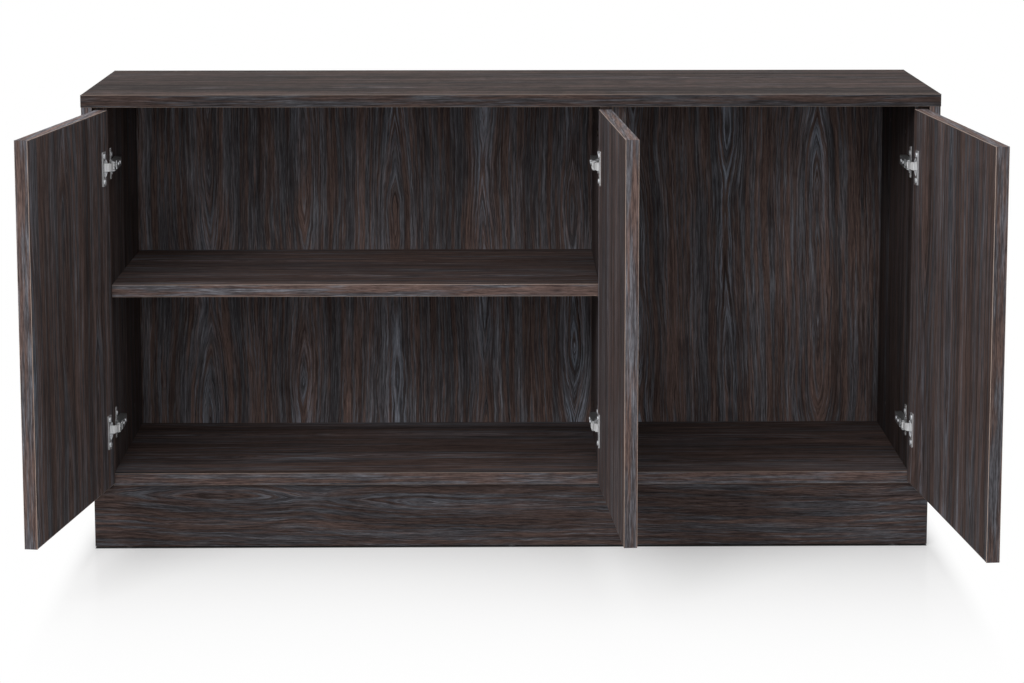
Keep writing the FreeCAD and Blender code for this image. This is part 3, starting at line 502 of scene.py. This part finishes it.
def plinth_distance(s, point):
    """Metres from the plinth's outline, where those beside it count FADE_SIDE times."""
    low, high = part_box("plinth_front")[0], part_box("plinth_back")[1]
    x, y, _ = s.split(point)
    squares = []
    for part, start, end, weight in ((x, low.x, high.x, FADE_SIDE), (y, low.y, high.y, 1.0)):
        middle, half = (start + end) / 2, (end - start) / 2
        off = s.math("ABSOLUTE", s.math("SUBTRACT", part, middle))
        gap = s.times(s.math("MAXIMUM", s.math("SUBTRACT", off, half), 0.0), weight)
        squares.append(s.times(gap, gap))
    return s.math("SQRT", s.plus(*squares))


def lay_floor():
    bpy.ops.mesh.primitive_plane_add(size=FLOOR_SPAN, location=(0, 0, 0))
    floor = bpy.context.object
    floor.name = "studio_floor"
    s = Shader("studio_floor")
    point = s.coordinates()
    away = plinth_distance(s, point)
    clear = s.span(away, 0.0, UNDER_EDGE)
    cloud = s.noise(point, scale=FLOOR_CLOUDS, detail=2.0)
    albedo = s.span(cloud, *SPREAD, FLOOR_ALBEDO - FLOOR_CLOUD, FLOOR_ALBEDO + FLOOR_CLOUD)
    # painted shadow: the floor's colour is darkened under the plinth
    albedo = s.times(albedo, s.pick(clear, UNDER_SHADE, 1.0))
    matt = s.add("ShaderNodeBsdfDiffuse", {"Color": s.place(albedo, albedo, albedo)}).outputs[0]
    gloss = s.add("ShaderNodeBsdfGlossy", {"Color": PLAIN_WHITE, "Roughness": FLOOR_GLOSS_ROUGH}).outputs[0]
    lit = s.add("ShaderNodeMixShader", {0: s.times(clear, FLOOR_GLOSS), 1: matt, 2: gloss}).outputs[0]
    path = s.add("ShaderNodeLightPath")
    seen = s.math("MAXIMUM", path.outputs["Is Camera Ray"], path.outputs["Is Glossy Ray"])
    seen = s.math("MAXIMUM", seen, path.outputs["Is Transmission Ray"])
    glow = s.times(seen, FLOOR_GLOW, clear)
    haze = s.add("ShaderNodeEmission", {"Color": PLAIN_WHITE, "Strength": glow}).outputs[0]
    white = s.add("ShaderNodeEmission", {"Color": PLAIN_WHITE, "Strength": WHITE}).outputs[0]
    near = s.span(away, 0.0, FADE_REACH, 1.0, 0.0)
    fade = s.math("SUBTRACT", 1.0, s.times(near, near))
    shown = s.add("ShaderNodeAddShader", {0: lit, 1: haze}).outputs[0]
    faded = s.add("ShaderNodeMixShader", {0: s.times(seen, fade), 1: shown, 2: white}).outputs[0]
    floor.data.materials.append(s.finish(faded))


# Each lamp's name, place, aim, width and height in metres, and power in watts.
LAMPS = (
    ("key_light", (-2.4, -4.4, 3.2), (0.0, 0.0, 0.4), (1.8, 1.8), 100.0),
    ("front_light", (0.0, -5.6, 1.6), (0.0, 0.0, 0.4), (3.0, 2.2), 62.0),
    ("top_light", (0.0, -0.6, 3.6), (0.0, 0.0, 0.6), (3.6, 2.4), 35.0),
    ("high_light", (0.0, -4.4, 4.4), (0.0, 0.0, 0.4), (3.6, 2.0), 48.0),
)


def hang_lamps():
    for name, place, aim, size, power in LAMPS:
        data = bpy.data.lights.new(name, "AREA")
        data.shape = "RECTANGLE"
        data.size, data.size_y = size
        data.energy = power
        lamp = bpy.data.objects.new(name, data)
        lamp.location = place
        lamp.rotation_euler = (Vector(aim) - Vector(place)).to_track_quat("-Z", "Y").to_euler()
        bpy.context.scene.collection.objects.link(lamp)


def light_room():
    """A dim room on the object, and a white backdrop for the camera, gloss and glass."""
    world = bpy.data.worlds.new("studio_world")
    bpy.context.scene.world = world
    world.use_nodes = True
    tree = world.node_tree
    tree.nodes.clear()
    path = tree.nodes.new("ShaderNodeLightPath")
    seen = path.outputs["Is Camera Ray"]
    for ray in ("Is Glossy Ray", "Is Transmission Ray"):
        either = tree.nodes.new("ShaderNodeMath")
        either.operation = "MAXIMUM"
        tree.links.new(seen, either.inputs[0])
        tree.links.new(path.outputs[ray], either.inputs[1])
        seen = either.outputs[0]
    mix = tree.nodes.new("ShaderNodeMixShader")
    tree.links.new(seen, mix.inputs[0])
    for slot, strength in ((1, AMBIENT), (2, WHITE)):
        glow = tree.nodes.new("ShaderNodeBackground")
        glow.inputs["Color"].default_value = (*PLAIN_WHITE, 1.0)
        glow.inputs["Strength"].default_value = strength
        tree.links.new(glow.outputs[0], mix.inputs[slot])
    output = tree.nodes.new("ShaderNodeOutputWorld")
    tree.links.new(mix.outputs[0], output.inputs["Surface"])


SENSOR = 36.0
FOCAL_PIXELS = 2795.5            # focal length in pixels of the 1024 pixel wide picture
PICTURE_WIDTH = 1024
CAMERA_PLACE = (-0.0339, -4.8937, 1.3234)
CAMERA_PITCH = 8.263             # degrees below level
CAMERA_YAW = -0.767              # degrees to the left
CAMERA_SHIFT = (-0.017, -0.13)


def set_camera():
    data = bpy.data.cameras.new("camera")
    data.sensor_width = SENSOR
    data.lens = FOCAL_PIXELS / PICTURE_WIDTH * SENSOR
    data.shift_x, data.shift_y = CAMERA_SHIFT
    camera = bpy.data.objects.new("camera", data)
    camera.location = CAMERA_PLACE
    camera.rotation_euler = (math.radians(90.0 - CAMERA_PITCH), 0.0, math.radians(CAMERA_YAW))
    bpy.context.scene.collection.objects.link(camera)
    bpy.context.scene.camera = camera


dress_boards()
dress_bands()
dress_doors()
dress_hardware()
lay_floor()
hang_lamps()
light_room()
set_camera()
bpy.context.scene.view_settings.view_transform = "Standard"
